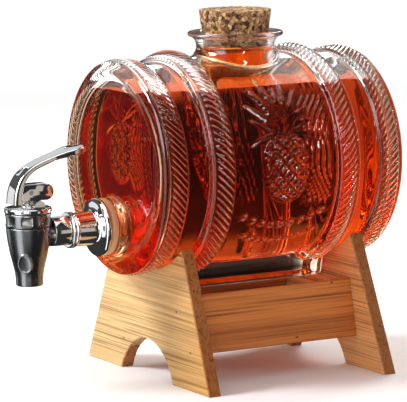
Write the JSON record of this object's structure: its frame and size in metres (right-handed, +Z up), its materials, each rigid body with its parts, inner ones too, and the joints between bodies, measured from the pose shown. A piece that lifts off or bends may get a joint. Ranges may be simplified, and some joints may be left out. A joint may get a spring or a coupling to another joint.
{
  "type": "barrel drink dispenser",
  "caption": "Glass barrel drink dispenser lying on a bamboo cradle stand, with a chrome lever tap on its front end and a tapered cork stopper in its top neck.",
  "frame": {"origin": "on the floor, under the middle of the whole object's bounding box (from the tap's front to the barrel's rear end)", "axes": "+Z up, -Y towards the tap along the barrel's axis, +X to the near side seen from the front right"},
  "size_m": [0.1348, 0.2084, 0.1922],
  "materials": {
    "glass": "clear pressed glass",
    "cork": "agglomerated cork, matt",
    "bamboo_face": "oiled bamboo, satin",
    "bamboo_rail": "oiled bamboo, satin, warmer tone",
    "dowel_wood": "plain wood",
    "chrome": "polished chrome plate",
    "dark_chrome": "polished dark chrome plate",
    "steel": "plain stainless steel",
    "silicone": "translucent silicone",
    "seal_rubber": "moulded rubber"
  },
  "bodies": {
    "stand": {"stand_front_board": "bamboo_face", "stand_rear_board": "bamboo_face", "stand_near_rail": "bamboo_rail", "stand_far_rail": "bamboo_rail", "dowel_near_front_low": "dowel_wood", "dowel_near_front_high": "dowel_wood", "dowel_near_rear_low": "dowel_wood", "dowel_near_rear_high": "dowel_wood", "dowel_far_front_low": "dowel_wood", "dowel_far_front_high": "dowel_wood", "dowel_far_rear_low": "dowel_wood", "dowel_far_rear_high": "dowel_wood"},
    "barrel": {"glass_barrel": "glass", "tap_body": "dark_chrome", "tap_shank": "chrome", "bonnet_collar": "dark_chrome", "bonnet_cap": "chrome", "outer_washer": "silicone", "inner_washer": "silicone", "shank_nut": "steel", "valve_spring": "steel"},
    "cork": {"cork_stopper": "cork"},
    "stem": {"valve_stem": "steel", "valve_seal": "seal_rubber"},
    "lever": {"lever_handle": "chrome", "lever_pin": "steel"}
  },
  "joints": [
    {"name": "barrel_lift", "type": "slide", "parent": "stand", "child": "barrel", "axis": [0, 0, 1], "range_m": [0, 0.07]},
    {"name": "cork_pull", "type": "slide", "parent": "barrel", "child": "cork", "axis": [0, 0, 1], "range_m": [0, 0.04]},
    {"name": "stem_lift", "type": "slide", "parent": "barrel", "child": "stem", "axis": [0, 0, 1], "range_m": [0, 0.00225], "deforming": ["valve_spring"]},
    {"name": "lever_press", "type": "hinge", "parent": "stem", "child": "lever", "pos_m": [0, -0.0919, 0.104], "axis": [-1, 0, 0], "range_deg": [0, 20]}
  ],
  "couplings": [
    {"joint": "stem_lift", "follows": "lever_press", "m_per_rad": 0.0063}
  ]
}
